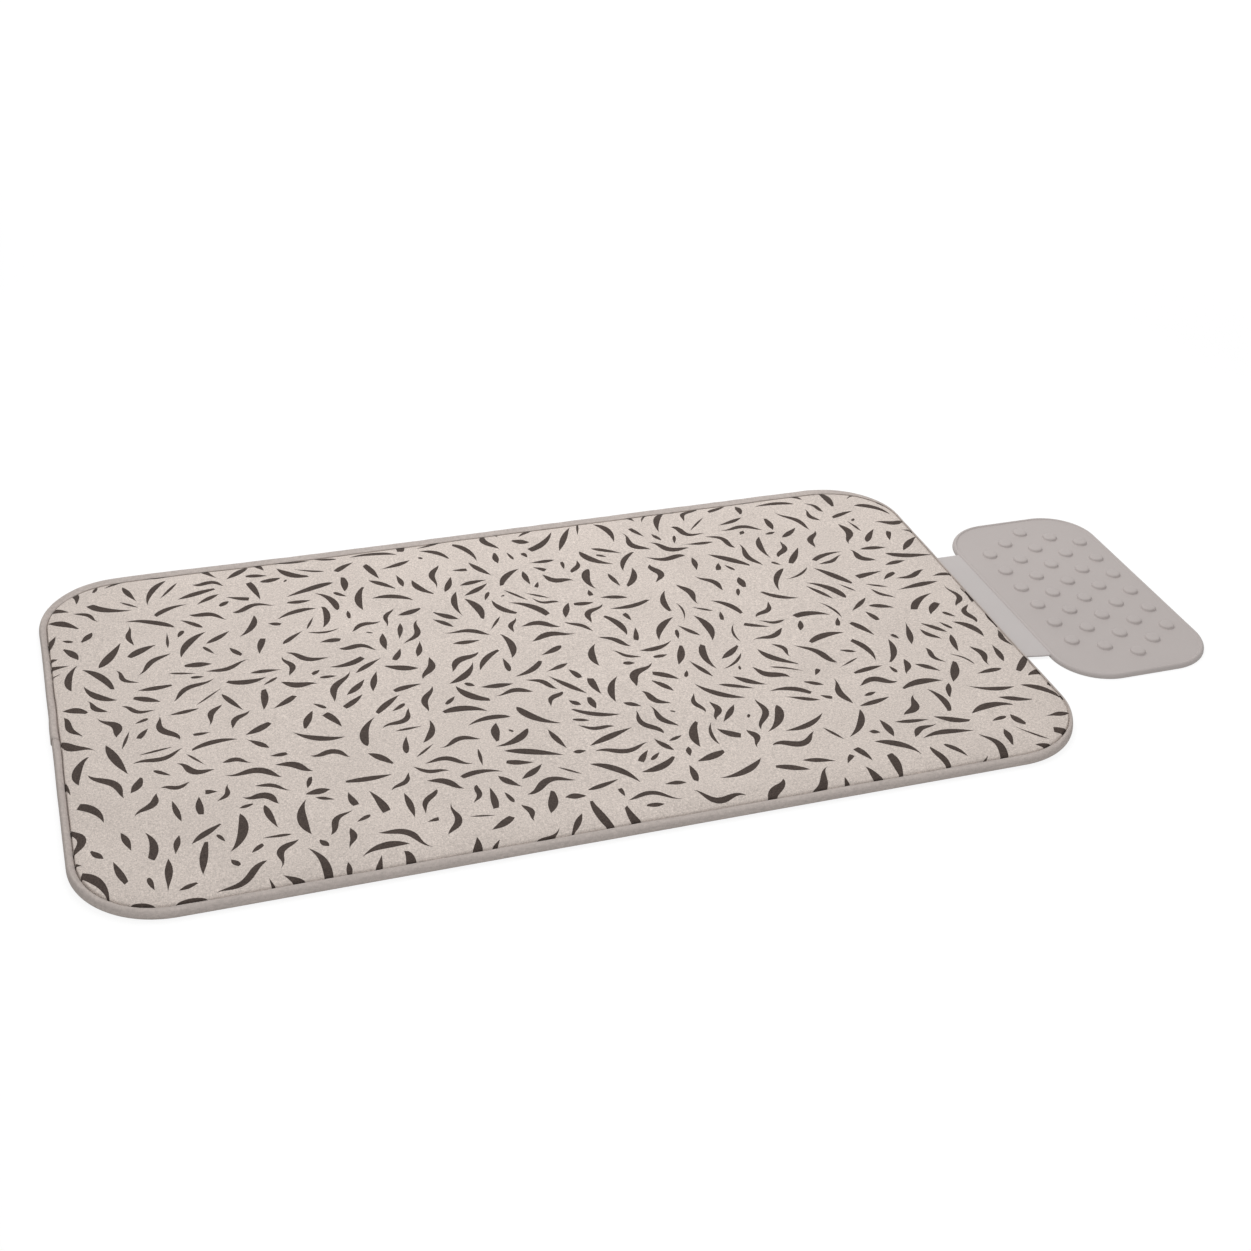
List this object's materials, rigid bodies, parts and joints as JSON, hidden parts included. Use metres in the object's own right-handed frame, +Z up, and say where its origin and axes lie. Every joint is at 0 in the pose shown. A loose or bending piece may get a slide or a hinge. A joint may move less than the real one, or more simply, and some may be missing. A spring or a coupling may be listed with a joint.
{
  "type": "ironing pad",
  "caption": "Thin padded table-top ironing pad with a bound edge, a scattered print and a studded silicone iron rest that folds over on a soft neck.",
  "frame": {"origin": "centre of the pad's underside, on the table", "axes": "+X along the pad's long side towards the iron rest, +Y across the pad to its far side, +Z up"},
  "size_m": [1.11, 0.526, 0.0122],
  "materials": {
    "canvas": "plain woven cotton, matt, with a dark grey brown scattered print",
    "metallised_cloth": "thin cloth with a dull silver coat",
    "felt": "dense needle felt",
    "foam": "open soft foam",
    "backing": "plain woven backing, matt",
    "binding_tape": "soft woven bias tape, matt",
    "silicone": "matt moulded silicone"
  },
  "bodies": {
    "pad": {"top_cover": "canvas", "reflecting_layer": "metallised_cloth", "felt_padding": "felt", "foam_padding": "foam", "backing_cloth": "backing", "edge_binding": "binding_tape", "rest_flange": "silicone"},
    "web": {"rest_web": "silicone"},
    "rest": {"rest_plate": "silicone"}
  },
  "joints": [
    {"name": "web_fold", "type": "hinge", "parent": "pad", "child": "web", "pos_m": [0.459, -0.0065, 0.0029], "axis": [0, -1, 0], "range_deg": [0, 90]},
    {"name": "rest_fold", "type": "hinge", "parent": "web", "child": "rest", "pos_m": [0.473, -0.0065, 0.0029], "axis": [0, -1, 0], "range_deg": [0, 90]}
  ]
}
